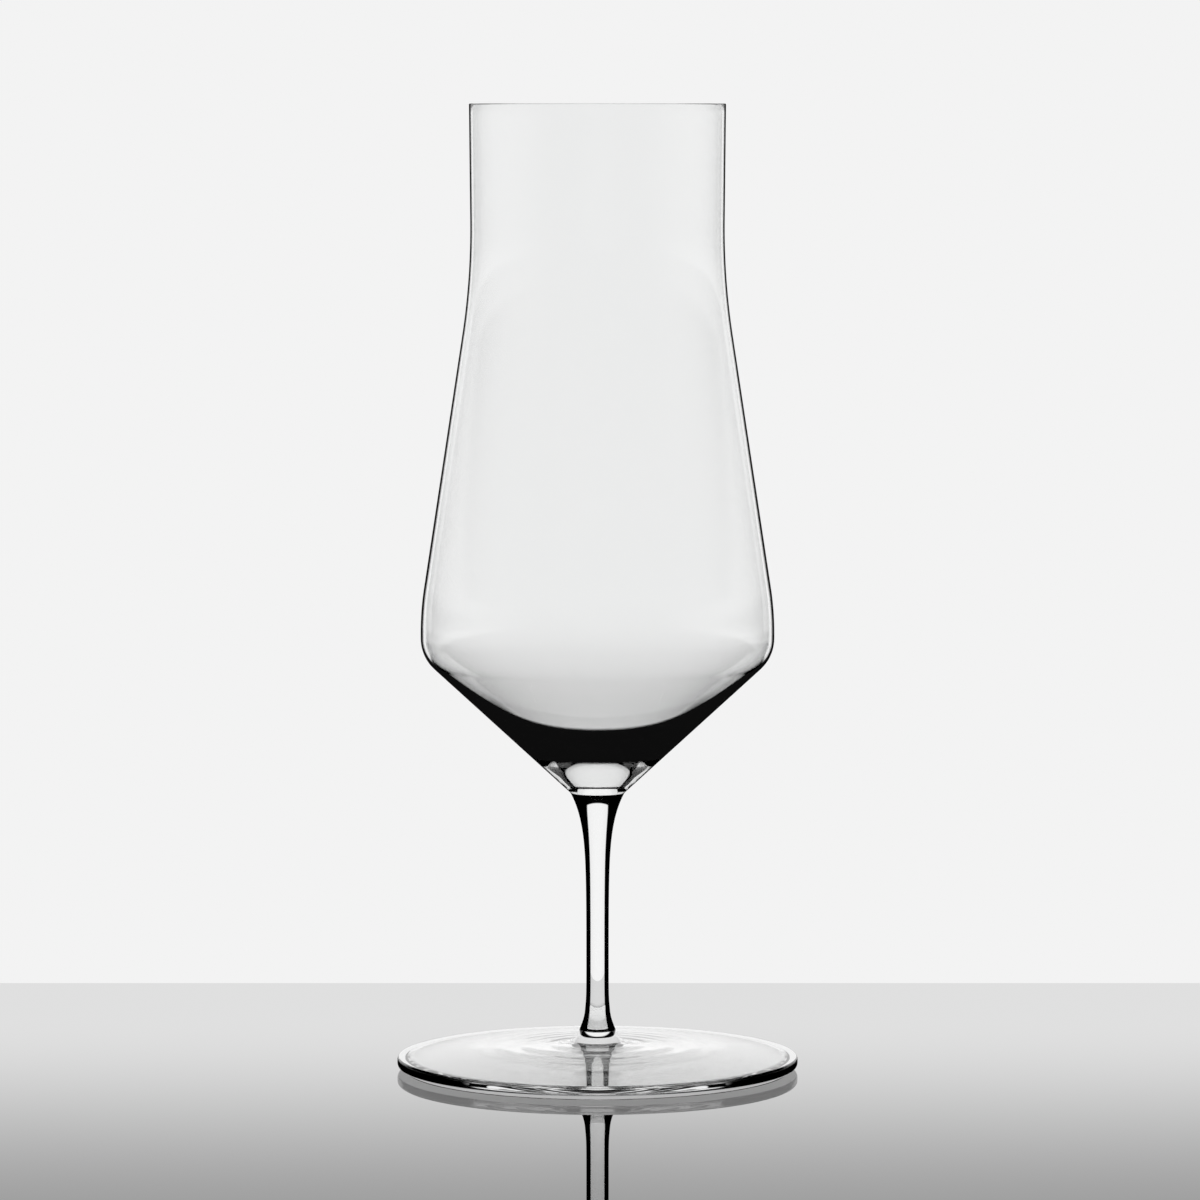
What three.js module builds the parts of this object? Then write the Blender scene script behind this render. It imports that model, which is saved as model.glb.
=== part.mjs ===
// Clear stem glass for spirits: a blown bowl, a drawn stem and a spread foot, fused while hot.
// Millimetres, +Z up. The origin lies on the table, under the middle of the foot.

import * as THREE from "three";

// Foot: a thin, low dome that stands on a narrow flat ring, with a short collar in the middle of its top
const FOOT_RADIUS = 42.6;
const FOOT_EDGE_LOW = 1.0;          // height where the underside's bevel meets the edge
const FOOT_EDGE_LOW_ROUND = 1.0;
const FOOT_EDGE_HIGH = 2.9;         // height where the edge meets the top
const FOOT_EDGE_HIGH_ROUND = 0.7;
const RING_OUTER_RADIUS = 40.6;     // the flat ring that touches the table
const RING_INNER_RADIUS = 39.2;
const HOLLOW_RADIUS = 6.0;          // the underside rises to here, along the top
const HOLLOW_HEIGHT = 2.9;
const HOLLOW_ROUND = 20.0;
const HOLLOW_MIDDLE_HEIGHT = 3.2;
const DOME_RADIUS = 7.0;            // the top rises to here, then turns level
const DOME_HEIGHT = 6.1;
const DOME_ROUND = 8.0;
const COLLAR_BASE_RADIUS = 4.7;
const COLLAR_BASE_HEIGHT = 6.2;
const COLLAR_BASE_ROUND = 2.0;
const COLLAR_NECK_RADIUS = 2.8;
const COLLAR_NECK_HEIGHT = 11.2;
const COLLAR_NECK_ROUND = 12.0;
const COLLAR_HEIGHT = 13.9;         // table to the weld between foot and stem
const COLLAR_WELD_RADIUS = 2.55;

// Stem: slimmest in its lower half, and flared where it carries the bowl
const STEM_LENGTH = 45.3;
const STEM_SLIM_RADIUS = 2.38;
const STEM_SLIM_RISE = 13.2;        // from the lower weld to the slimmest place
const STEM_LOW_POWER = 7.0;         // how late the stem opens towards the foot
const STEM_SWELL = 0.5;             // slow widening over the whole upper stretch
const STEM_FLARE_POWER = 5.6;       // how late the flare opens towards the bowl
const BOWL_WELD_RADIUS = 5.75;

// Bowl, outside: cone, belly, taper and chimney, stacked from the upper weld
const CONE_HEIGHT = 29.15;
const BELLY_RADIUS = 37.45;
const BELLY_HEIGHT = 9.65;
const SHOULDER_ROUND = 8.6;         // between cone and belly
const BELLY_ROUND = 66.0;           // between belly and taper
const TAPER_HEIGHT = 70.3;
const NECK_RADIUS = 26.7;
const NECK_ROUND = 150.0;           // between taper and chimney
const CHIMNEY_HEIGHT = 36.7;
const RIM_RADIUS = 27.05;

// Bowl, inside: a thin even wall that swells low in the cone, where the glass gathered
const RIM_WALL = 0.5;
const BELLY_WALL = 0.55;
const SWELL_RISE = 4.3;             // height above the upper weld where the wall is thickest
const SWELL = 1.85;                 // extra wall there that fades slowly up the cone
const SWELL_SPREAD = 8.25;
const SWELL_BEND = 0.7;             // share of the spread over which its top is rounded
const GATHER = 0.75;                // extra wall there that stays low in the cone
const GATHER_SPREAD = 5.75;
const FLOOR_THICKNESS = 2.5;        // solid glass between the upper weld and the cavity's floor
const FLOOR_ROUND = 3.0;
const FLOOR_CORNER_RISE = 0.9;      // height over which the cavity's side turns into its floor

// Facets
const SIDES = 48;
const ARC_SAG = 0.03;               // most that a chord may stand off its arc
const CURVE_STEPS = 14;             // stretches along the stem
const CURVE_CROWDING = 1.6;         // above 1, the stretches get shorter towards the flare
const CORNER_ROOM = 0.5;            // share of a side that one rounded corner may take
const CONE_STEPS = 12;              // stretches up the cone
const RIM_STEPS = 6;                // stretches over the rim

// Heights that follow from the sizes above
const STEM_TOP = COLLAR_HEIGHT + STEM_LENGTH;
const SHOULDER_HEIGHT = STEM_TOP + CONE_HEIGHT;
const BELLY_TOP = SHOULDER_HEIGHT + BELLY_HEIGHT;
const NECK_HEIGHT = BELLY_TOP + TAPER_HEIGHT;
const RIM_HEIGHT = NECK_HEIGHT + CHIMNEY_HEIGHT;
const SWELL_HEIGHT = STEM_TOP + SWELL_RISE;
const CAVITY_FLOOR = STEM_TOP + FLOOR_THICKNESS;

/** One corner of a half section: distance from the axis, height, and the radius that rounds it. */
function corner(radius, height, round = 0) {
  return { at: new THREE.Vector2(radius, height), round };
}

/** Points of an arc that touches both sides of a corner. */
function roundedCorner(before, { at, round }, after) {
  const toBefore = before.at.clone().sub(at);
  const toAfter = after.at.clone().sub(at);
  const room = CORNER_ROOM * Math.min(toBefore.length(), toAfter.length());
  toBefore.normalize();
  toAfter.normalize();
  const halfAngle = Math.acos(THREE.MathUtils.clamp(toBefore.dot(toAfter), -1, 1)) / 2;
  const reach = Math.min(round / Math.tan(halfAngle), room);
  const radius = reach * Math.tan(halfAngle);
  const inward = toBefore.clone().add(toAfter).normalize();
  const centre = at.clone().addScaledVector(inward, radius / Math.sin(halfAngle));
  const start = at.clone().addScaledVector(toBefore, reach).sub(centre);
  const turn = Math.PI - 2 * halfAngle;
  const side = Math.sign(toAfter.cross(toBefore));
  const chordTurn = 2 * Math.acos(1 - Math.min(ARC_SAG / radius, 1));
  const steps = Math.max(2, Math.ceil(turn / chordTurn));
  const origin = new THREE.Vector2();
  return Array.from({ length: steps + 1 }, (_, step) =>
    start.clone().rotateAround(origin, (side * turn * step) / steps).add(centre));
}

/** The points of a half section, with every rounded corner drawn as an arc. */
function halfSection(corners) {
  return corners.flatMap((item, index) =>
    item.round > 0 ? roundedCorner(corners[index - 1], item, corners[index + 1]) : [item.at]);
}

/** A closed solid of revolution about the vertical axis. */
function turned(points) {
  return new THREE.LatheGeometry(points, SIDES).rotateX(Math.PI / 2);
}

/** Clear, colourless glass: each piece has its own copy. */
function clearGlass() {
  return new THREE.MeshStandardMaterial({
    color: 0xf3f6f5,
    roughness: 0.03,
    metalness: 0,
    transparent: true,
    opacity: 0.35,
  });
}

function piece(name, points) {
  const mesh = new THREE.Mesh(turned(points), clearGlass());
  mesh.name = name;
  return mesh;
}

/** The foot, from the middle of its hollow underside round the edge to the weld on its collar. */
function footSection() {
  return halfSection([
    corner(0, HOLLOW_MIDDLE_HEIGHT),
    corner(HOLLOW_RADIUS, HOLLOW_HEIGHT, HOLLOW_ROUND),
    corner(RING_INNER_RADIUS, 0),
    corner(RING_OUTER_RADIUS, 0),
    corner(FOOT_RADIUS, FOOT_EDGE_LOW, FOOT_EDGE_LOW_ROUND),
    corner(FOOT_RADIUS, FOOT_EDGE_HIGH, FOOT_EDGE_HIGH_ROUND),
    corner(DOME_RADIUS, DOME_HEIGHT, DOME_ROUND),
    corner(COLLAR_BASE_RADIUS, COLLAR_BASE_HEIGHT, COLLAR_BASE_ROUND),
    corner(COLLAR_NECK_RADIUS, COLLAR_NECK_HEIGHT, COLLAR_NECK_ROUND),
    corner(COLLAR_WELD_RADIUS, COLLAR_HEIGHT),
    corner(0, COLLAR_HEIGHT),
  ]);
}

/** The stem's radius at a rise above the lower weld. */
function stemRadius(rise) {
  if (rise < STEM_SLIM_RISE) {
    const share = 1 - rise / STEM_SLIM_RISE;
    return STEM_SLIM_RADIUS + (COLLAR_WELD_RADIUS - STEM_SLIM_RADIUS) * share ** STEM_LOW_POWER;
  }
  const share = (rise - STEM_SLIM_RISE) / (STEM_LENGTH - STEM_SLIM_RISE);
  const flare = BOWL_WELD_RADIUS - STEM_SLIM_RADIUS - STEM_SWELL;
  return STEM_SLIM_RADIUS + STEM_SWELL * share ** 2 + flare * share ** STEM_FLARE_POWER;
}

/** The stem, from the weld on the foot's collar to the weld under the bowl. */
function stemSection() {
  const side = Array.from({ length: CURVE_STEPS + 1 }, (_, step) => {
    const share = step / CURVE_STEPS;
    const rise = STEM_LENGTH * (1 - (1 - share) ** CURVE_CROWDING);
    return new THREE.Vector2(stemRadius(rise), COLLAR_HEIGHT + rise);
  });
  const lower = new THREE.Vector2(0, COLLAR_HEIGHT);
  const upper = new THREE.Vector2(0, STEM_TOP);
  return [lower, ...side, upper];
}

/** The bowl's outside, from the edge of the weld to just under the rim. */
function bowlOutside() {
  const [weld, ...upper] = halfSection([
    corner(BOWL_WELD_RADIUS, STEM_TOP),
    corner(BELLY_RADIUS, SHOULDER_HEIGHT, SHOULDER_ROUND),
    corner(BELLY_RADIUS, BELLY_TOP, BELLY_ROUND),
    corner(NECK_RADIUS, NECK_HEIGHT, NECK_ROUND),
    corner(RIM_RADIUS, RIM_HEIGHT - RIM_WALL / 2),
  ]);
  const cone = Array.from({ length: CONE_STEPS }, (_, step) =>
    weld.clone().lerp(upper[0], step / CONE_STEPS));
  return [...cone, ...upper];
}

/** The bowl's wall at a height on its outside. */
function wallAt(height) {
  const up = THREE.MathUtils.clamp((height - BELLY_TOP) / TAPER_HEIGHT, 0, 1);
  const thin = THREE.MathUtils.lerp(BELLY_WALL, RIM_WALL, up);
  const away = height - SWELL_HEIGHT;
  const swell = SWELL * Math.exp(SWELL_BEND - Math.hypot(SWELL_BEND, away / SWELL_SPREAD));
  const gather = GATHER / (1 + (away / GATHER_SPREAD) ** 2) ** 2;
  return thin + swell + gather;
}

/** The bowl's inside, from the rim down: the outside moved in by the wall, square to itself. */
function bowlInside(outside) {
  const lowest = CAVITY_FLOOR + FLOOR_CORNER_RISE;
  const moved = outside.map((point, index) => {
    const before = outside[Math.max(index - 1, 0)];
    const after = outside[Math.min(index + 1, outside.length - 1)];
    const inward = after.clone().sub(before).normalize().rotateAround(new THREE.Vector2(), Math.PI / 2);
    return point.clone().addScaledVector(inward, wallAt(point.y));
  });
  return moved.filter((point) => point.y > lowest).reverse();
}

/** The rounded rim, from the bowl's outside over to its inside. */
function rimArc(outer, inner) {
  const middle = outer.clone().add(inner).multiplyScalar(0.5);
  return Array.from({ length: RIM_STEPS - 1 }, (_, step) =>
    outer.clone().rotateAround(middle, (Math.PI * (step + 1)) / RIM_STEPS));
}

/** The bowl, up its outside from the weld, over the rim, and down its inside to the cavity floor. */
function bowlSection() {
  const outside = bowlOutside();
  const inside = bowlInside(outside);
  const [above, lowest] = inside.slice(-2);
  const slope = (above.x - lowest.x) / (above.y - lowest.y);
  const floorRadius = lowest.x - slope * (lowest.y - CAVITY_FLOOR);
  const side = [...outside, ...rimArc(outside.at(-1), inside[0]), ...inside];
  return halfSection([
    corner(0, STEM_TOP),
    ...side.map((point) => corner(point.x, point.y)),
    corner(floorRadius, CAVITY_FLOOR, FLOOR_ROUND),
    corner(0, CAVITY_FLOOR),
  ]);
}

const glass = new THREE.Group();
glass.add(
  piece("bowl", bowlSection()),
  piece("stem", stemSection()),
  piece("foot", footSection()),
);

export default glass;
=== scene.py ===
"""Clear stem glass for spirits: a blown bowl, a drawn stem and a spread foot, on a glossy pale table."""

import math

import bpy
from bpy.props import FloatProperty, IntProperty, PointerProperty
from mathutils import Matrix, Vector


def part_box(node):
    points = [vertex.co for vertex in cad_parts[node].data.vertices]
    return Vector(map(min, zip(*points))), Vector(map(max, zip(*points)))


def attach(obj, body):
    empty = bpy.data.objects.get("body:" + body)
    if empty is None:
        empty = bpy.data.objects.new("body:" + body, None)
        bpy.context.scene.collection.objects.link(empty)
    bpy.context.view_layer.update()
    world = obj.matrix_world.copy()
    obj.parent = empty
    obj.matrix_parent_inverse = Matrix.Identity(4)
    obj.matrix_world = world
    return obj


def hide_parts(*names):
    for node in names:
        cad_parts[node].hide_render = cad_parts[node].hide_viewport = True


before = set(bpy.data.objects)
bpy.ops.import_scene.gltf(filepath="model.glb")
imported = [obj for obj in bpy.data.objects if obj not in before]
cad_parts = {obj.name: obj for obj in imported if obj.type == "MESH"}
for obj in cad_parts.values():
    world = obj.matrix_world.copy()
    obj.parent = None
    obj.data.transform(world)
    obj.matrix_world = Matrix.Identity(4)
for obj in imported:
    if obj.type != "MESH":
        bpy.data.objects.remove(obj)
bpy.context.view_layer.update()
_, FOOT_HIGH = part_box("foot")
STEM_LOW, STEM_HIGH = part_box("stem")
BOWL_LOW, BOWL_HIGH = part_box("bowl")

bl_info = {
    "name": "Stem Glass for Spirits",
    "version": (1, 0, 0),
    "blender": (4, 5, 0),
    "location": "3D View > Sidebar > Glass",
    "description": "Builds a clear stem glass from its three fused pieces, with a plain studio",
    "category": "Object",
}


def between(low, high):
    """Two angles in degrees, as radians."""
    return math.radians(low), math.radians(high)


# Shapes, in metres.
ARC_STEP = 0.0006
ARC_TURN = math.radians(4)
ARC_FEWEST = 4
CORNER_ROOM = 0.5
SWELL_BEND = 0.7
RIPPLE_LEAN = 0.6
RIPPLE_START = 2.84
RIM_STEPS = 12
FIRST_STRIP = 0.9
MERGE_DISTANCE = 1e-7
SHARP_TURN = math.radians(37)
NO_INSIDE = 1000000

# Sockets of a colour Mix node.
MIX_FIRST_COLOUR = 6
MIX_SECOND_COLOUR = 7
MIX_COLOUR = 2

# Glass colours, and how finely its waves are drawn along each axis.
FAINT_TINT = (0.990, 0.996, 0.994, 1)
WHITE = (1, 1, 1, 1)
# Black painted as shade along the glass's edges and bands, and along the bowl's outline.
PAINTED_SHADE_BLACK = (0, 0, 0, 1)
PAINTED_OUTLINE_BLACK = (0.005, 0.005, 0.005, 1)
# Matt colour of the foot's bevel, partly painted light in place of light refracted there, and of its wall
# in the table's mirror image.
MATT_GREY = (0.58, 0.58, 0.58, 1)
FOOT_WAVES = (60, 60, 60)
STEM_WAVES = (300, 300, 12)
BOWL_WAVES = (40, 40, 25)

# Where a mask on the glass rises from 0 to 1: heights and radii in metres, facings from 0 to 1. These masks
# paint shade in black along the glass's edges and low in the cone, and paint light on the foot's bevel; the
# masks at the foot's middle only make it see-through.
# Heights between which the cone's glass colour is painted darker, as shade, and by how much.
CONE_SHADE_LOW = (0.066, 0.074)
CONE_SHADE_TOP = (0.074, 0.098)
CONE_SHADE_DEPTH = 0.13
BEVEL_RADIUS = (0.0406, 0.0408)
BEVEL_TOP = (0.0009, 0.0011)
WALL_RADIUS = (0.0412, 0.0416)
WALL_TOP = (0.0029, 0.0031)
MIRRORED_WALL_LIGHT = 0.55
EDGE_TOP = (0.0024, 0.0028)
EDGE_FACING = (0.20, 0.36)
RIM_RADIUS = (0.0423, 0.0425)
MIDDLE_RADIUS = (0.016, 0.018)
MIDDLE_TOP = (0.0040, 0.0045)
BACK_FACING = (0.25, 0.30)
COLLAR_LOW = (0.0082, 0.0086)
COLLAR_FACING = (0.20, 0.24)
STEM_FACING = (0.205, 0.235)
INSIDE_LOW = (0.066, 0.070)
INSIDE_TOP = (0.073, 0.080)
INSIDE_FACING = (0.60, 0.75)
# A band of painted shade low in the cone, which climbs as the surface turns away.
SHADE_BAND_LOW = (0.0665, 0.0672)
SHADE_BAND_TOP = (0.0738, 0.0746)
SHADE_BAND_CLIMB = 0.0318
SHADE_BAND_FACING = (0.30, 0.36)

# Light Path depths are whole numbers, so these limits lie just below them.
ONCE = 0.5
TWICE = 1.5
FOUR_TIMES = 3.5

# The studio by direction: angles over which a part fades in, and levels.
SOFT = math.radians(1)
DIM_SIDE = between(5, 27)
DIM_DEPTH = 0.05
OTHERS_SIDE = between(28, 29)
SIDE = between(34, 37)
GROUND_UP = between(-11, -9)
DEEP_UP = between(-18, -16)
WRAP_LOW = between(-6.0, -5.2)
WRAP_HIGH = between(12, 16)
WRAP_SIDE = between(26, 30)
WRAP_END = between(40, 150)
WRAP_CUT = between(5, 7)
WRAP_GROWTH = between(-1, 3)
WRAP_GAIN = 0.38
WRAP_LEAST = 0.57
FRONT_SIDE = between(70, 120)
FRONT_LEVEL = 0.02
GUIDED_SIDE = between(26, 31)
GUIDED_LEVEL = 0.7

# The table, the floor and the camera: places in metres, facings from 0 to 1.
TABLE_LEVEL = -0.00002
MIRROR_ALONG = (-0.200, 0.070)
NEAR_RADIUS = (0.050, 0.056)
STEEP_FACING = (0.690, 0.725)
LOW_FACING = (0.80, 0.82)
THROUGH_STEM_FACING = (0.72, 0.77)
FLOOR_LEVEL = -0.0006
FLOOR_HALF = 4
FLOOR_FACING = (0.76, 0.83)
SENSOR_WIDTH = 36
CLIP_START = 0.01
BOUNCES = 32
GLOSSY_BOUNCES = 24


def length(name, description, metres):
    """A size in metres."""
    return FloatProperty(
        name=name, description=description, default=metres, precision=5, unit="LENGTH", subtype="DISTANCE"
    )


def angle(name, description, degrees):
    """An angle, given in degrees."""
    return FloatProperty(
        name=name, description=description, default=math.radians(degrees), unit="ROTATION", subtype="ANGLE"
    )


def share(name, description, value):
    """A part of one whole."""
    return FloatProperty(name=name, description=description, default=value, min=0, max=1, subtype="FACTOR")


def power(name, description, value):
    """A power to which a part is raised."""
    return FloatProperty(name=name, description=description, default=value, min=1)


def facets(count):
    """The number of facets round the axis."""
    return IntProperty(name="Sides", description="Facets round the axis", default=count, min=12)


class FootSizes(bpy.types.PropertyGroup):
    """The spread foot: a low dome on a narrow flat ring, with a short collar."""

    radius: length("Radius", "Half the width of the foot", FOOT_HIGH[0])
    edge_low: length("Edge, low", "Height where the underside's bevel meets the edge", 0.0010)
    edge_low_round: length("Edge, low round", "Radius of that corner", 0.0010)
    edge_high: length("Edge, high", "Height where the edge meets the top", 0.0029)
    edge_high_round: length("Edge, high round", "Radius of that corner", 0.0007)
    ring_outer: length("Ring, outer", "Outer radius of the flat ring that stands on the table", 0.0406)
    ring_inner: length("Ring, inner", "Inner radius of that ring", 0.0392)
    hollow_radius: length("Hollow, radius", "Distance from the axis where the hollow levels out", 0.0060)
    hollow_height: length("Hollow, height", "Height of the hollow there", 0.0029)
    hollow_round: length("Hollow, round", "Radius of that bend", 0.0200)
    hollow_middle: length("Hollow, middle", "Height of the hollow under the stem", 0.0032)
    dome_radius: length("Dome, radius", "Distance from the axis where the top levels out", 0.0070)
    dome_height: length("Dome, height", "Height of the top there", 0.0061)
    dome_round: length("Dome, round", "Radius of that bend", 0.0080)
    collar_base_radius: length("Collar base, radius", "Where the collar starts to rise", 0.0047)
    collar_base_height: length("Collar base, height", "Height of that place", 0.0062)
    collar_base_round: length("Collar base, round", "Radius of that bend", 0.0020)
    collar_neck_radius: length("Collar neck, radius", "Where the collar straightens", 0.0028)
    collar_neck_height: length("Collar neck, height", "Height of that place", 0.0112)
    collar_neck_round: length("Collar neck, round", "Radius of that bend", 0.0120)
    ripple_height: length("Ripple, height", "Height of the rings left by spinning the foot", 0.000014)
    ripple_pitch: length("Ripple, pitch", "Distance from one ring to the next", 0.00525)
    ripple_inner: length("Ripple, inner", "Distance from the axis where the rings start", 0.0080)
    ripple_outer: length("Ripple, outer", "Distance from the axis where the rings end", 0.0300)
    step: length("Step", "Longest stretch of the half section", 0.0004)
    sides: facets(320)


class StemSizes(bpy.types.PropertyGroup):
    """The drawn stem: slimmest in its lower half, flared under the bowl."""

    low_weld: length("Lower weld", "Radius where the stem joins the foot's collar", 0.00255)
    slim: length("Slimmest", "Radius at the slimmest place", 0.00238)
    slim_rise: length("Slimmest, rise", "Height of that place above the lower weld", 0.0132)
    low_power: power("Lower power", "How fast the lower end slims", 7.0)
    swell: length("Swell", "Slow widening over the upper stretch", 0.0005)
    flare_power: power("Flare power", "How late the flare opens", 5.6)
    high_weld: length("Upper weld", "Radius where the stem carries the bowl", STEM_HIGH[0])
    step: length("Step", "Longest stretch of the half section", 0.0004)
    sides: facets(192)


class BowlSizes(bpy.types.PropertyGroup):
    """The blown bowl: cone, belly, taper and chimney, with a wall that swells low in the cone."""

    belly_radius: length("Belly, radius", "Half the greatest width of the bowl", BOWL_HIGH[0])
    shoulder_height: length("Shoulder, height", "Height where the cone meets the belly", 0.08835)
    shoulder_round: length("Shoulder, round", "Radius of that bend", 0.0086)
    belly_top: length("Belly, top", "Height where the belly meets the taper", 0.0980)
    belly_round: length("Belly, round", "Radius of that bend", 0.0660)
    neck_radius: length("Neck, radius", "Radius where the taper meets the chimney", 0.0267)
    neck_height: length("Neck, height", "Height of that place", 0.1683)
    neck_round: length("Neck, round", "Radius of that bend", 0.1500)
    rim_radius: length("Rim, radius", "Outer radius at the rim", 0.02705)
    rim_wall: length("Rim, wall", "Thickness of the wall at the rim", 0.0005)
    belly_wall: length("Belly, wall", "Thickness of the wall at the belly", 0.00055)
    swell_rise: length("Swell, rise", "Height above the weld where the wall is thickest", 0.0043)
    swell: length("Swell", "Extra wall there that fades slowly up the cone", 0.00185)
    swell_spread: length("Swell, spread", "How slowly it fades", 0.00825)
    gather: length("Gather", "Extra wall there that stays low in the cone", 0.00075)
    gather_spread: length("Gather, spread", "How slowly it fades", 0.00575)
    floor_thickness: length("Floor", "Solid glass between the weld and the cavity", 0.0025)
    floor_round: length("Floor, round", "Radius between the cavity's side and its floor", 0.0030)
    floor_rise: length("Floor, corner rise", "Height over which the side turns into the floor", 0.0009)
    cone_step: length("Cone step", "Longest stretch of the half section in the cone", 0.0007)
    step: length("Step", "Longest stretch of the half section above it", 0.0020)
    sides: facets(256)


class GlassFinish(bpy.types.PropertyGroup):
    """The clear glass and the dark outline painted on the bowl as shade against a bright field."""

    ior: FloatProperty(
        name="Refractive index", description="How strongly the glass bends light", default=1.52
    )
    wave: length("Wave", "Depth of the faint waves that blowing leaves", 0.0000006)
    painted_outline_from: share("Outline from", "Facing at which the bowl's dark outline starts", 0.79)
    painted_outline_full: share("Outline full", "Facing at which the outline is darkest", 0.87)


class StudioSizes(bpy.types.PropertyGroup):
    """The table, the bright field behind the glass and the camera."""

    table_back: length("Table, back", "Distance from the axis to the table's back edge", 0.128)
    table_front: length("Table, front", "Distance from the axis to the table's front edge", 0.600)
    table_half: length("Table, half width", "Half the width of the table", 0.550)
    # The table's gloss is painted dimmer near the camera than at its back, as shade.
    mirror_near: share("Mirror, near", "Brightness of the table's gloss close to the camera", 0.33)
    mirror_far: share("Mirror, far", "Brightness of the table's gloss at its back", 0.75)
    table_tone: share("Table tone", "Brightness of the table seen from above", 0.90)
    backdrop: share("Backdrop", "Brightness of the plain background", 0.896)
    field: share("Field", "Brightness of the panel behind the glass", 0.99)
    field_half: angle("Field, half width", "Half the angle that the panel fills", 28.5)
    field_low: angle("Field, low", "Angle from the horizon down to the panel's lower edge", 14)
    field_high: angle("Field, high", "Angle from the horizon up to the panel's upper edge", 22)
    room: share("Room", "Brightness of the room's soft light on the table", 0.95)
    lens: FloatProperty(name="Lens", description="Focal length in millimetres", default=184.32)
    eye_side: length("Camera, side", "Distance of the camera to the right of the axis", 0.00053)
    eye_back: length("Camera, back", "Distance of the camera in front of the axis", 1.2969)
    eye_height: length("Camera, height", "Height of the camera above the table", 0.2050)
    eye_tilt: angle("Camera, tilt", "Angle by which the camera looks down", 4.62)


class Value:
    """A node's output that can stand in sums."""

    def __init__(self, nodes, socket):
        self.nodes = nodes
        self.socket = socket

    def math(self, operation, *others):
        inputs = dict(enumerate((self, *others)))
        return self.nodes.add("ShaderNodeMath", {"operation": operation}, inputs)

    def __add__(self, other):
        return self.math("ADD", other)

    def __sub__(self, other):
        return self.math("SUBTRACT", other)

    def __rsub__(self, other):
        return self.nodes.add("ShaderNodeMath", {"operation": "SUBTRACT"}, {0: other, 1: self})

    def __mul__(self, other):
        return self.math("MULTIPLY", other)

    def __truediv__(self, other):
        return self.math("DIVIDE", other)

    def __mod__(self, other):
        return self.math("MODULO", other)

    def __gt__(self, other):
        return self.math("GREATER_THAN", other)

    def __lt__(self, other):
        return self.math("LESS_THAN", other)

    def __abs__(self):
        return self.math("ABSOLUTE")

    def most(self, *others):
        """The greatest of several values."""
        greatest = self
        for other in others:
            greatest = greatest.math("MAXIMUM", other)
        return greatest

    def rise(self, low, high):
        """0 below low, 1 above high, and smooth between them."""
        sockets = {"Value": self, "From Min": low, "From Max": high}
        return self.nodes.add("ShaderNodeMapRange", {"interpolation_type": "SMOOTHSTEP"}, sockets)


class Nodes:
    """A node tree that is filled from an empty start."""

    def __init__(self, tree):
        self.tree = tree
        tree.nodes.clear()

    def add(self, kind, settings=None, sockets=None, output=0):
        """Adds a node, sets it, feeds its sockets and gives one of its outputs."""
        node = self.tree.nodes.new(kind)
        for name, setting in (settings or {}).items():
            setattr(node, name, setting)
        for name, value in (sockets or {}).items():
            self.feed(node.inputs[name], value)
        return Value(self, node.outputs[output]) if len(node.outputs) else None

    def feed(self, socket, value):
        if isinstance(value, Value):
            self.tree.links.new(value.socket, socket)
        else:
            socket.default_value = value

    def facing(self):
        """How far the surface turns away: 0 seen face on, 1 seen edge on."""
        return self.add("ShaderNodeLayerWeight", {}, {"Blend": 0.5}, "Facing")

    def parts(self, vector):
        """The three parts of a vector."""
        first = self.add("ShaderNodeSeparateXYZ", {}, {"Vector": vector})
        return [Value(self, output) for output in first.socket.node.outputs]


def arc(before, at, after, round_radius):
    """Points of an arc that touches both sides of a corner."""
    to_before = before - at
    to_after = after - at
    room = CORNER_ROOM * min(to_before.length, to_after.length)
    to_before.normalize()
    to_after.normalize()
    half = to_before.angle(to_after) / 2
    reach = min(round_radius / math.tan(half), room)
    radius = reach * math.tan(half)
    centre = at + (to_before + to_after).normalized() * (radius / math.sin(half))
    start = at + to_before * reach - centre
    side = math.copysign(1, to_after.x * to_before.y - to_after.y * to_before.x)
    turn = side * (math.pi - 2 * half)
    steps = max(ARC_FEWEST, math.ceil(abs(turn) / ARC_TURN), math.ceil(abs(turn) * radius / ARC_STEP))
    return [turned_about(start, turn * step / steps) + centre for step in range(steps + 1)]


def turned_about(point, turn):
    """A point of the half section, turned about its origin."""
    cosine, sine = math.cos(turn), math.sin(turn)
    return Vector((point.x * cosine - point.y * sine, point.x * sine + point.y * cosine))


def half_section(corners):
    """The points of a half section from corners of radius, height and round."""
    places = [Vector(corner[:2]) for corner in corners]
    points = []
    for index, corner in enumerate(corners):
        if len(corner) > 2:
            points += arc(places[index - 1], places[index], places[index + 1], corner[2])
        else:
            points.append(places[index])
    return points


def spaced(points, step):
    """The same line with its long stretches split."""
    line = []
    for start, end in zip(points, points[1:]):
        count = max(1, math.ceil((end - start).length / step))
        line += [start.lerp(end, index / count) for index in range(count)]
    return line + points[-1:]


def foot_line(sizes):
    """The foot, from the middle of its hollow round the edge to the weld on its collar."""
    weld = bpy.context.scene.glass_stem.low_weld
    top = STEM_LOW[2]
    side = spaced(half_section([
        (0, sizes.hollow_middle),
        (sizes.hollow_radius, sizes.hollow_height, sizes.hollow_round),
        (sizes.ring_inner, 0),
        (sizes.ring_outer, 0),
        (sizes.radius, sizes.edge_low, sizes.edge_low_round),
        (sizes.radius, sizes.edge_high, sizes.edge_high_round),
        (sizes.dome_radius, sizes.dome_height, sizes.dome_round),
        (sizes.collar_base_radius, sizes.collar_base_height, sizes.collar_base_round),
        (sizes.collar_neck_radius, sizes.collar_neck_height, sizes.collar_neck_round),
        (weld, top),
    ]), sizes.step)
    spread = sizes.ripple_outer - sizes.ripple_inner
    for point in side:
        out = point.x - sizes.ripple_inner
        if 0 < out < spread and point.y > sizes.hollow_middle:
            fade = math.sin(math.pi * (out / spread) ** RIPPLE_LEAN)
            ring = math.sin(2 * math.pi * out / sizes.ripple_pitch + RIPPLE_START)
            point.y += sizes.ripple_height * fade * ring
    return side + [Vector((0, top))]


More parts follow.
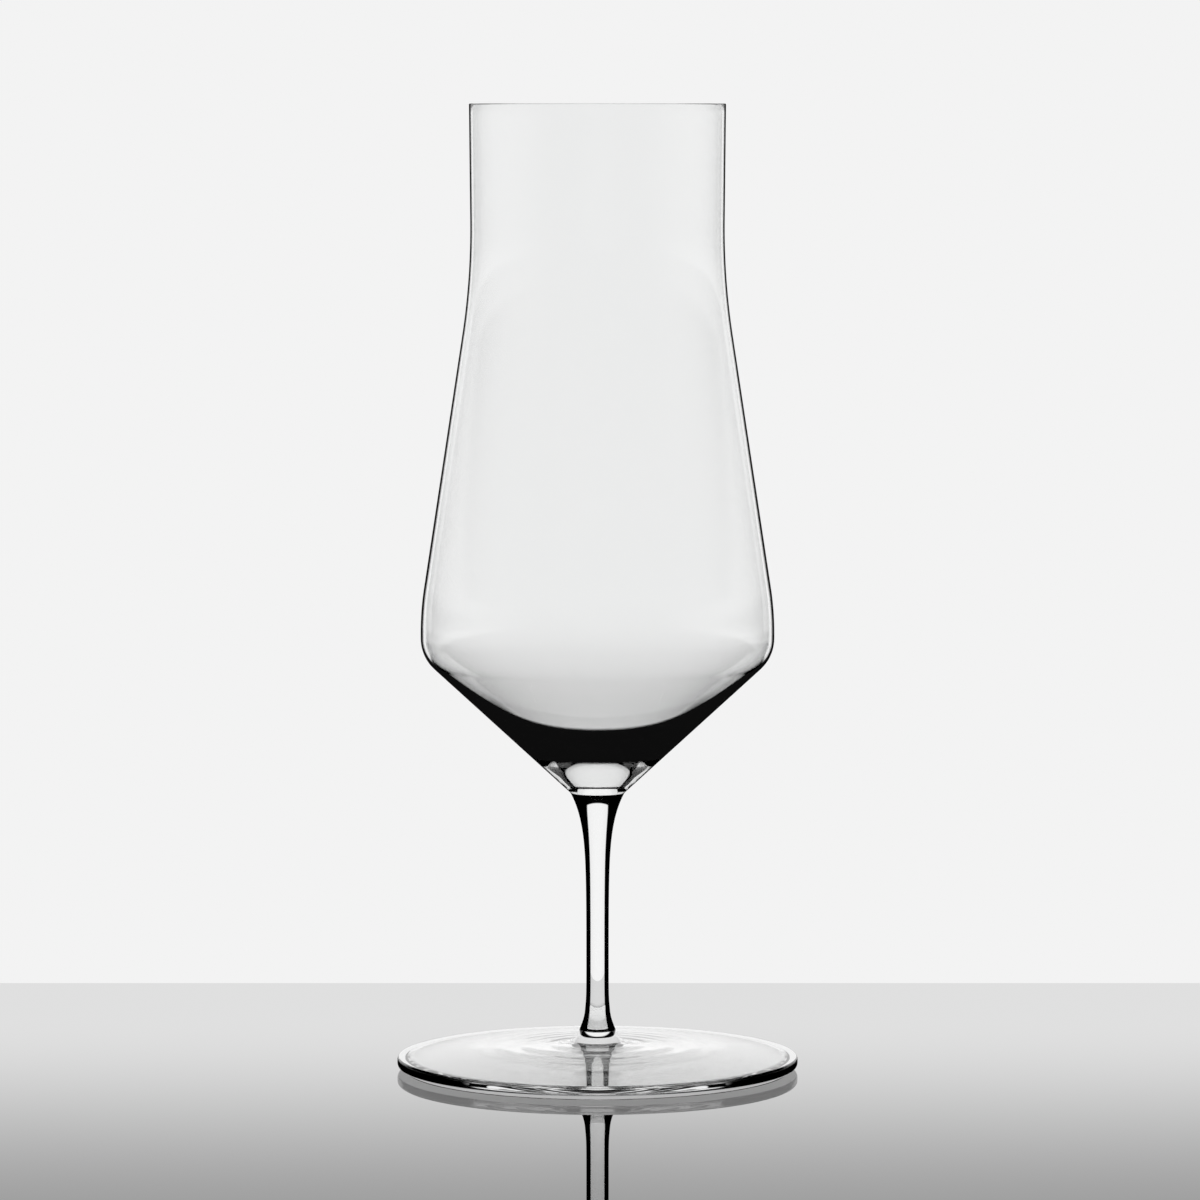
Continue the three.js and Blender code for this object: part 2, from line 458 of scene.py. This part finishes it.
def stem_line(sizes):
    """The stem, from the weld on the collar to the weld under the bowl."""
    low, high = STEM_LOW[2], STEM_HIGH[2]
    upper = high - low - sizes.slim_rise
    flare = sizes.high_weld - sizes.slim - sizes.swell
    steps = math.ceil((high - low) / sizes.step)
    side = []
    for step in range(steps + 1):
        rise = (high - low) * step / steps
        up = rise - sizes.slim_rise
        if up < 0:
            radius = sizes.slim + (sizes.low_weld - sizes.slim) * (-up / sizes.slim_rise) ** sizes.low_power
        else:
            part = up / upper
            radius = sizes.slim + sizes.swell * part**2 + flare * part**sizes.flare_power
        side.append(Vector((radius, low + rise)))
    return [Vector((0, low)), *side, Vector((0, high))]


def bowl_wall(sizes, height):
    """The bowl's wall at a height on its outside."""
    up = (height - sizes.belly_top) / (sizes.neck_height - sizes.belly_top)
    thin = sizes.belly_wall + (sizes.rim_wall - sizes.belly_wall) * min(max(up, 0), 1)
    away = height - BOWL_LOW[2] - sizes.swell_rise
    swell = sizes.swell * math.exp(SWELL_BEND - math.hypot(SWELL_BEND, away / sizes.swell_spread))
    gather = sizes.gather / (1 + (away / sizes.gather_spread) ** 2) ** 2
    return thin + swell + gather


def bowl_line(sizes):
    """The bowl up its outside, over the rim and down its inside, and how many points are outside."""
    weld = bpy.context.scene.glass_stem.high_weld
    low, high = BOWL_LOW[2], BOWL_HIGH[2]
    drawn = half_section([
        (weld, low),
        (sizes.belly_radius, sizes.shoulder_height, sizes.shoulder_round),
        (sizes.belly_radius, sizes.belly_top, sizes.belly_round),
        (sizes.neck_radius, sizes.neck_height, sizes.neck_round),
        (sizes.rim_radius, high - sizes.rim_wall / 2),
    ])
    outside = spaced(drawn[:2], sizes.cone_step)[:-1] + spaced(drawn[1:], sizes.step)
    inside = []
    for index, point in enumerate(outside):
        along = outside[min(index + 1, len(outside) - 1)] - outside[max(index - 1, 0)]
        inward = Vector((-along.y, along.x)).normalized()
        inside.append(point + inward * bowl_wall(sizes, point.y))
    floor = low + sizes.floor_thickness
    inside = [point for point in reversed(inside) if point.y > floor + sizes.floor_rise]
    middle = (outside[-1] + inside[0]) / 2
    start = outside[-1] - middle
    turns = [math.pi * step / RIM_STEPS for step in range(1, RIM_STEPS)]
    rim = [turned_about(start, turn) + middle for turn in turns]
    above, lowest = inside[-2:]
    slope = (above.x - lowest.x) / (above.y - lowest.y)
    floor_radius = lowest.x - slope * (lowest.y - floor)
    bottom = half_section([
        tuple(lowest),
        (floor_radius, floor, sizes.floor_round),
        (0, floor),
    ])
    line = [Vector((0, low)), *outside, *rim, *inside, *spaced(bottom, sizes.cone_step)[1:]]
    return line, len(outside) + len(rim) // 2


def lathe_tree():
    """Geometry nodes that turn a half section about the axis and give its faces their glass."""
    tree = bpy.data.node_groups.new("Turned glass", "GeometryNodeTree")
    inputs = {
        "Half Section": "NodeSocketGeometry",
        "Sides": "NodeSocketInt",
        "Inside From": "NodeSocketInt",
        "Weld At Start": "NodeSocketBool",
        "Weld At End": "NodeSocketBool",
        "Outer Glass": "NodeSocketMaterial",
        "Inner Glass": "NodeSocketMaterial",
        "Weld": "NodeSocketMaterial",
    }
    for name, kind in inputs.items():
        tree.interface.new_socket(name=name, in_out="INPUT", socket_type=kind)
    tree.interface.new_socket(name="Piece", in_out="OUTPUT", socket_type="NodeSocketGeometry")
    nodes = Nodes(tree)
    given = nodes.add("NodeGroupInput").socket.node
    take = {name: Value(nodes, given.outputs[name]) for name in inputs}
    line = take["Half Section"]
    sides = take["Sides"]
    component = {"component": "MESH"}
    count = nodes.add("GeometryNodeAttributeDomainSize", component, {"Geometry": line}, "Point Count")
    grid = nodes.add("GeometryNodeMeshGrid", {}, {"Vertices X": sides + 1, "Vertices Y": count}, "Mesh")
    index = nodes.add("GeometryNodeInputIndex")
    along = index % count
    turn = (index - along) / count * (2 * math.pi) / sides
    place = nodes.add("GeometryNodeInputPosition")
    sampled = nodes.add(
        "GeometryNodeSampleIndex",
        {"data_type": "FLOAT_VECTOR", "domain": "POINT"},
        {"Geometry": line, "Value": place, "Index": along},
    )
    radius, _, height = nodes.parts(sampled)
    x = radius * turn.math("COSINE")
    y = radius * turn.math("SINE")
    spot = nodes.add("ShaderNodeCombineXYZ", {}, {"X": x, "Y": y, "Z": height})
    marked = nodes.add(
        "GeometryNodeStoreNamedAttribute",
        {"data_type": "FLOAT", "domain": "POINT"},
        {"Geometry": grid, "Name": "along", "Value": along},
    )
    shaped = nodes.add("GeometryNodeSetPosition", {}, {"Geometry": marked, "Position": spot})
    closed = nodes.add("GeometryNodeMergeByDistance", {}, {"Geometry": shaped, "Distance": MERGE_DISTANCE})
    piece = nodes.add("GeometryNodeRealizeInstances", {}, {"Geometry": closed})
    kept = nodes.add("GeometryNodeInputNamedAttribute", {"data_type": "FLOAT"}, {"Name": "along"})
    weld = (kept < FIRST_STRIP) * take["Weld At Start"] + (kept > count - 2) * take["Weld At End"]
    choices = {"Outer Glass": None, "Inner Glass": kept > take["Inside From"], "Weld": weld}
    for name, chosen in choices.items():
        sockets = {"Geometry": piece, "Material": take[name]}
        if chosen:
            sockets["Selection"] = chosen
        piece = nodes.add("GeometryNodeSetMaterial", {}, sockets)
    nodes.add("NodeGroupOutput", {}, {"Piece": piece})
    return tree


def turned_piece(name, line, settings):
    """A closed glass piece turned from its half section, as a plain mesh."""
    mesh = bpy.data.meshes.new(name + "_line")
    edges = [(index, index + 1) for index in range(len(line) - 1)]
    mesh.from_pydata([(point.x, 0, point.y) for point in line], edges, [])
    piece = bpy.data.objects.new(name, mesh)
    bpy.context.collection.objects.link(piece)
    tree = bpy.data.node_groups.get("Turned glass") or lathe_tree()
    lathe = piece.modifiers.new("Lathe", "NODES")
    lathe.node_group = tree
    for item in tree.interface.items_tree:
        if item.in_out == "INPUT" and item.name in settings:
            lathe[item.identifier] = settings[item.name]
    graph = bpy.context.evaluated_depsgraph_get()
    solid = bpy.data.meshes.new_from_object(piece.evaluated_get(graph))
    piece.modifiers.clear()
    piece.data = solid
    solid.name = name
    bpy.data.meshes.remove(mesh)
    if not solid.polygons:
        raise RuntimeError(f"{name} has no faces")
    solid.shade_smooth()
    solid.set_sharp_from_angle(angle=SHARP_TURN)
    return piece


def new_material(name):
    """An empty material and its nodes."""
    material = bpy.data.materials.get(name) or bpy.data.materials.new(name)
    material.use_nodes = True
    return material, Nodes(material.node_tree)


class Glass:
    """Clear colourless glass with faint waves, painted darker in the cone as shade when asked, and other
    shaders mixed in where they are asked for.
    """

    def __init__(self, name, wave_scale, cone=False):
        finish = bpy.context.scene.glass_finish
        self.material, self.nodes = new_material(name)
        nodes = self.nodes
        place = nodes.add("ShaderNodeTexCoord", {}, {}, "Object")
        self.x, self.y, self.height = nodes.parts(place)
        self.facing = nodes.facing()
        self.back = nodes.add("ShaderNodeNewGeometry", {}, {}, "Backfacing")
        self.front = 1 - self.back
        drawn = nodes.add("ShaderNodeMapping", {}, {"Vector": place, "Scale": wave_scale})
        waves = nodes.add("ShaderNodeTexNoise", {}, {"Vector": drawn, "Scale": 1.0, "Detail": 2.0}, "Fac")
        sockets = {"Factor": waves, MIX_FIRST_COLOUR: FAINT_TINT, MIX_SECOND_COLOUR: WHITE}
        tint_and_shade = nodes.add("ShaderNodeMix", {"data_type": "RGBA"}, sockets, MIX_COLOUR)
        # In the cone the glass colour is painted darker, as shade, between two heights, in place of the
        # darkness that refraction gives.
        if cone:
            cone_shade = 1 - (1 - self.height.rise(*CONE_SHADE_TOP)) * self.height.rise(*CONE_SHADE_LOW) * CONE_SHADE_DEPTH
            scaled = {0: tint_and_shade, "Scale": cone_shade}
            tint_and_shade = nodes.add("ShaderNodeVectorMath", {"operation": "SCALE"}, scaled, "Vector")
        bump = nodes.add("ShaderNodeBump", {}, {"Strength": 1.0, "Distance": finish.wave, "Height": waves})
        self.shader = nodes.add("ShaderNodeBsdfPrincipled", {}, {
            "Base Color": tint_and_shade,
            "Roughness": 0.0,
            "IOR": finish.ior,
            "Transmission Weight": 1.0,
            "Normal": bump,
        })

    def mix(self, mask, kind, sockets=None):
        """Puts another shader over the glass where the mask is 1."""
        other = self.nodes.add(kind, {}, sockets)
        self.shader = self.nodes.add("ShaderNodeMixShader", {}, {0: mask, 1: self.shader, 2: other})

    def finished(self):
        self.nodes.add("ShaderNodeOutputMaterial", {}, {"Surface": self.shader})
        return self.material


def foot_glass():
    """The foot's glass: a pale matt bevel as painted light, a wall painted pale in the table's mirror
    image, a clear middle and edges painted dark as shade.
    """
    glass = Glass("foot_glass", FOOT_WAVES)
    height, facing, back, front = glass.height, glass.facing, glass.back, glass.front
    radius = (glass.x * glass.x + glass.y * glass.y).math("SQRT")
    mirrored = glass.nodes.add("ShaderNodeLightPath", {}, {}, "Glossy Depth") > ONCE
    bevel = radius.rise(*BEVEL_RADIUS) * (1 - height.rise(*BEVEL_TOP))
    wall = radius.rise(*WALL_RADIUS) * height.rise(*BEVEL_TOP) * (1 - height.rise(*WALL_TOP))
    # Partly real and partly painted light: the bevel is a matt band lit by the room, standing in for light
    # refracted at the foot's edge; the wall turns pale only in the table's mirror image, a painted
    # reflection.
    pale = (bevel + wall * mirrored * MIRRORED_WALL_LIGHT) * front
    glass.mix(pale, "ShaderNodeBsdfDiffuse", {"Color": MATT_GREY})
    middle = (1 - radius.rise(*MIDDLE_RADIUS)) * (1 - height.rise(*MIDDLE_TOP)) * facing.rise(*BACK_FACING)
    middle = middle * (1 - mirrored)
    glass.mix((bevel + middle) * back, "ShaderNodeBsdfTransparent")
    # Painted shade: black on the rim and bevel seen from behind in the table's mirror image, on the collar
    # where it turns away, and along the edge's wall.
    behind = (radius.rise(*RIM_RADIUS) * facing.rise(*BACK_FACING)).most(bevel) * mirrored * back
    collar = height.rise(*COLLAR_LOW) * facing.rise(*COLLAR_FACING) * front
    edge = wall * (1 - height.rise(*EDGE_TOP)) * facing.rise(*EDGE_FACING) * (1 - mirrored) * front
    glass.mix(behind + collar + edge, "ShaderNodeBsdfDiffuse", {"Color": PAINTED_SHADE_BLACK})
    return glass.finished()


def stem_glass():
    """The stem's glass, with shade painted black along both sides."""
    glass = Glass("stem_glass", STEM_WAVES)
    # Painted shade: black where the stem's sides turn away.
    glass.mix(glass.facing.rise(*STEM_FACING) * glass.front, "ShaderNodeBsdfDiffuse", {"Color": PAINTED_SHADE_BLACK})
    return glass.finished()


def bowl_inner_glass():
    """The inside of the bowl, with shade painted black low in the cone where it turns away."""
    glass = Glass("bowl_inner_glass", BOWL_WAVES, cone=True)
    # Painted shade: black low in the cone, on front faces turned away and on back faces.
    below = 1 - glass.height.rise(*INSIDE_TOP)
    mask = glass.facing.rise(*INSIDE_FACING) * glass.front * below
    mask = mask + glass.facing.rise(*BACK_FACING) * glass.back * below
    mask = mask * glass.height.rise(*INSIDE_LOW)
    glass.mix(mask, "ShaderNodeBsdfDiffuse", {"Color": PAINTED_SHADE_BLACK})
    return glass.finished()


def bowl_glass():
    """The outside of the bowl, with shade painted black along its outline and in a band low in the cone
    where it turns away.
    """
    finish = bpy.context.scene.glass_finish
    glass = Glass("bowl_glass", BOWL_WAVES, cone=True)
    height, facing = glass.height, glass.facing
    # Painted shade: a dark outline where the bowl turns edge on, and a dark band low in the cone that
    # climbs as the cone turns away.
    away = facing * facing
    shade_band = 1 - (height - away * away * SHADE_BAND_CLIMB).rise(*SHADE_BAND_TOP)
    shade_band = shade_band * height.rise(*SHADE_BAND_LOW) * facing.rise(*SHADE_BAND_FACING)
    mask = facing.rise(finish.painted_outline_from, finish.painted_outline_full).most(shade_band) * glass.front
    glass.mix(mask, "ShaderNodeBsdfPrincipled", {
        "Base Color": PAINTED_OUTLINE_BLACK,
        "Roughness": 0.5,
        "Specular IOR Level": 0.0,
    })
    return glass.finished()


def weld_glass():
    """The hidden faces where two fused pieces meet, through which light passes straight on."""
    material, nodes = new_material("weld")
    through = nodes.add("ShaderNodeBsdfTransparent")
    nodes.add("ShaderNodeOutputMaterial", {}, {"Surface": through})
    return material


def light_path(nodes):
    """What a ray has met so far.

    passed: only clear glass; once: one shiny surface; few: one to three glass surfaces;
    trapped: four or more shiny surfaces; bowl: only clear glass, on four or more surfaces.
    """
    outputs = nodes.add("ShaderNodeLightPath").socket.node.outputs
    ray = {name: Value(nodes, outputs[name]) for name in outputs.keys()}
    shiny = ray["Glossy Depth"]
    glass = ray["Transmission Depth"]
    passed = ray["Is Transmission Ray"] * (shiny < ONCE)
    return {
        "camera": ray["Is Camera Ray"],
        "diffuse": ray["Diffuse Depth"] > ONCE,
        "passed": passed,
        "once": (shiny > ONCE) * (shiny < TWICE),
        "few": (glass > ONCE) * (glass < FOUR_TIMES),
        "trapped": shiny > FOUR_TIMES,
        "bowl": passed * (glass > FOUR_TIMES),
    }


def flat_stage(name, across, along, level):
    """A level sheet that isn't part of the glass."""
    corners = [(x, y, level) for x, y in zip(across + across[::-1], (along[0],) * 2 + (along[1],) * 2)]
    mesh = bpy.data.meshes.new(name)
    mesh.from_pydata(corners, [], [(0, 1, 2, 3)])
    sheet = bpy.data.objects.new(name, mesh)
    bpy.context.collection.objects.link(sheet)
    return sheet


class GLASS_OT_foot(bpy.types.Operator):
    """Spin the foot with its flat ring, hollow underside and collar"""

    bl_idname = "glass.foot"
    bl_label = "Foot"

    def execute(self, context):
        sizes = context.scene.glass_foot
        glass = foot_glass()
        foot = turned_piece("glass_foot", foot_line(sizes), {
            "Sides": sizes.sides,
            "Inside From": NO_INSIDE,
            "Weld At End": True,
            "Outer Glass": glass,
            "Inner Glass": glass,
            "Weld": weld_glass(),
        })
        foot.visible_diffuse = False
        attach(foot, "root")
        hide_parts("foot")
        return {"FINISHED"}


class GLASS_OT_stem(bpy.types.Operator):
    """Draw the stem between its two welds"""

    bl_idname = "glass.stem"
    bl_label = "Stem"

    def execute(self, context):
        sizes = context.scene.glass_stem
        glass = stem_glass()
        stem = turned_piece("glass_stem", stem_line(sizes), {
            "Sides": sizes.sides,
            "Inside From": NO_INSIDE,
            "Weld At Start": True,
            "Weld At End": True,
            "Outer Glass": glass,
            "Inner Glass": glass,
            "Weld": weld_glass(),
        })
        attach(stem, "root")
        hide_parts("stem")
        return {"FINISHED"}


class GLASS_OT_bowl(bpy.types.Operator):
    """Blow the bowl with its cone, belly, taper, chimney and rounded rim"""

    bl_idname = "glass.bowl"
    bl_label = "Bowl"

    def execute(self, context):
        sizes = context.scene.glass_bowl
        line, outside = bowl_line(sizes)
        bowl = turned_piece("glass_bowl", line, {
            "Sides": sizes.sides,
            "Inside From": outside,
            "Weld At Start": True,
            "Outer Glass": bowl_glass(),
            "Inner Glass": bowl_inner_glass(),
            "Weld": weld_glass(),
        })
        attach(bowl, "root")
        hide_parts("bowl")
        return {"FINISHED"}


class GLASS_OT_studio(bpy.types.Operator):
    """Set up the table, the bright field behind the glass and the camera"""

    bl_idname = "glass.studio"
    bl_label = "Studio"

    def execute(self, context):
        sizes = context.scene.glass_studio
        self.camera(context, sizes)
        self.world(context, sizes)
        self.table(sizes)
        self.floor(sizes)
        context.scene.view_settings.view_transform = "Standard"
        cycles = context.scene.cycles
        cycles.max_bounces = BOUNCES
        cycles.glossy_bounces = GLOSSY_BOUNCES
        cycles.transmission_bounces = BOUNCES
        cycles.transparent_max_bounces = BOUNCES
        return {"FINISHED"}

    def camera(self, context, sizes):
        lens = bpy.data.cameras.new("camera")
        lens.sensor_width = SENSOR_WIDTH
        lens.lens = sizes.lens
        lens.clip_start = CLIP_START
        camera = bpy.data.objects.new("camera", lens)
        camera.location = (sizes.eye_side, -sizes.eye_back, sizes.eye_height)
        camera.rotation_euler = (math.pi / 2 - sizes.eye_tilt, 0, 0)
        context.collection.objects.link(camera)
        context.scene.camera = camera

    def world(self, context, sizes):
        """A bright panel behind the glass in a dark studio, and a plain pale background for the camera."""
        world = bpy.data.worlds.new("studio")
        world.use_nodes = True
        world.cycles.sampling_method = "NONE"
        nodes = Nodes(world.node_tree)
        x, y, z = nodes.parts(nodes.add("ShaderNodeTexCoord", {}, {}, "Generated"))
        bearing = abs(x.math("ARCTAN2", y))
        up = z.math("ARCSINE")
        ray = light_path(nodes)
        across = 1 - bearing.rise(sizes.field_half - SOFT, sizes.field_half + SOFT)
        above = 1 - up.rise(sizes.field_high - SOFT / 2, sizes.field_high + SOFT)
        below = up.rise(-sizes.field_low - 3 * SOFT, -sizes.field_low)
        field = across * above * below * (1 - bearing.rise(*DIM_SIDE) * DIM_DEPTH)
        others = bearing.rise(*OTHERS_SIDE) * above * below * ray["passed"]
        ground = (1 - up.rise(*GROUND_UP)) * bearing.rise(*SIDE)
        ground = ground.most(1 - up.rise(*DEEP_UP), ray["bowl"] * above)
        level = up.rise(*WRAP_LOW) * (1 - up.rise(*WRAP_HIGH))
        wrap = bearing.rise(*WRAP_SIDE) * (1 - bearing.rise(*WRAP_END))
        wrap = wrap * level * ray["once"] * (1 - ray["few"] * up.rise(*WRAP_CUT))
        wrap = wrap * (up.rise(*WRAP_GROWTH) * WRAP_GAIN + WRAP_LEAST)
        front = bearing.rise(*FRONT_SIDE) * FRONT_LEVEL
        guided = (1 - bearing.rise(*GUIDED_SIDE)) * ray["trapped"] * GUIDED_LEVEL
        ground = ground * ray["passed"] * sizes.table_tone
        shown = (field + front).most(wrap, guided, others, ground)
        light = ray["diffuse"] * sizes.room + (1 - ray["diffuse"]) * shown * sizes.field
        tone = ray["camera"] * sizes.backdrop + (1 - ray["camera"]) * light
        background = nodes.add("ShaderNodeBackground", {}, {"Color": tone, "Strength": 1.0})
        nodes.add("ShaderNodeOutputWorld", {}, {"Surface": background})
        context.scene.world = world

    def table(self, sizes):
        """A glossy pale table, a mirror at a low angle and plain from above."""
        half = sizes.table_half
        table = flat_stage("table", (-half, half), (-sizes.table_front, sizes.table_back), TABLE_LEVEL)
        material, nodes = new_material("table_gloss")
        place = nodes.add("ShaderNodeTexCoord", {}, {}, "Object")
        x, y, _ = nodes.parts(place)
        # Painted shade: the mirror dims from the back of the table towards the camera, so reflections near
        # the front are darker.
        gloss = y.rise(*MIRROR_ALONG) * (sizes.mirror_far - sizes.mirror_near) + sizes.mirror_near
        mirror = nodes.add("ShaderNodeBsdfAnisotropic", {}, {"Color": gloss, "Roughness": 0.0})
        ray = light_path(nodes)
        camera, diffuse, bowl = ray["camera"], ray["diffuse"], ray["bowl"]
        away = nodes.add("ShaderNodeVectorMath", {"operation": "LENGTH"}, {0: place}, "Value")
        side = abs(x.math("ARCTAN2", y)).rise(*SIDE)
        near = 1 - away.rise(*NEAR_RADIUS)
        facing = nodes.facing()
        steep = 1 - facing.rise(*STEEP_FACING)
        clear = ray["passed"] * side.most(near, steep, bowl)
        tone = camera.most(clear, diffuse) * sizes.table_tone
        plain = nodes.add("ShaderNodeBsdfDiffuse", {}, {"Color": tone})
        low = facing.rise(*LOW_FACING)
        stem = near * low + (1 - near) * facing.rise(*THROUGH_STEM_FACING)
        seen = bowl * low * (1 - side) + (1 - bowl) * stem
        shiny = camera * low + (1 - camera) * (1 - diffuse) * seen
        surface = nodes.add("ShaderNodeMixShader", {}, {0: shiny, 1: plain, 2: mirror})
        nodes.add("ShaderNodeOutputMaterial", {}, {"Surface": surface})
        table.data.materials.append(material)

    def floor(self, sizes):
        """A plain pale floor round the table, seen by the camera alone."""
        reach = (-FLOOR_HALF, FLOOR_HALF)
        floor = flat_stage("floor", reach, reach, FLOOR_LEVEL)
        material, nodes = new_material("floor_plain")
        plain = nodes.add("ShaderNodeBsdfDiffuse", {}, {"Color": (sizes.table_tone,) * 3 + (1,)})
        glow = {"Color": (sizes.backdrop,) * 3 + (1,), "Strength": 1.0}
        backdrop = nodes.add("ShaderNodeEmission", {}, glow)
        far = nodes.facing().rise(*FLOOR_FACING)
        surface = nodes.add("ShaderNodeMixShader", {}, {0: far, 1: plain, 2: backdrop})
        nodes.add("ShaderNodeOutputMaterial", {}, {"Surface": surface})
        floor.data.materials.append(material)
        floor.visible_diffuse = False
        floor.visible_glossy = False
        floor.visible_transmission = False
        floor.visible_shadow = False


class GLASS_PT_pieces(bpy.types.Panel):
    """The pieces of the glass and its studio"""

    bl_label = "Stem Glass"
    bl_idname = "GLASS_PT_pieces"
    bl_space_type = "VIEW_3D"
    bl_region_type = "UI"
    bl_category = "Glass"

    def draw(self, context):
        for name, operator in PIECES.items():
            box = self.layout.box()
            box.operator(operator.bl_idname)
            sizes = getattr(context.scene, name)
            for key in sizes.__annotations__:
                box.prop(sizes, key)


PIECES = {
    "glass_studio": GLASS_OT_studio,
    "glass_foot": GLASS_OT_foot,
    "glass_stem": GLASS_OT_stem,
    "glass_bowl": GLASS_OT_bowl,
}
SIZES = {
    "glass_studio": StudioSizes,
    "glass_foot": FootSizes,
    "glass_stem": StemSizes,
    "glass_bowl": BowlSizes,
    "glass_finish": GlassFinish,
}


def register():
    for name, sizes in SIZES.items():
        bpy.utils.register_class(sizes)
        setattr(bpy.types.Scene, name, PointerProperty(type=sizes))
    for operator in PIECES.values():
        bpy.utils.register_class(operator)
    bpy.utils.register_class(GLASS_PT_pieces)


def unregister():
    bpy.utils.unregister_class(GLASS_PT_pieces)
    for operator in PIECES.values():
        bpy.utils.unregister_class(operator)
    for name, sizes in SIZES.items():
        delattr(bpy.types.Scene, name)
        bpy.utils.unregister_class(sizes)


def main():
    register()
    bpy.ops.glass.studio()
    bpy.ops.glass.foot()
    bpy.ops.glass.stem()
    bpy.ops.glass.bowl()


if __name__ == "__main__":
    main()
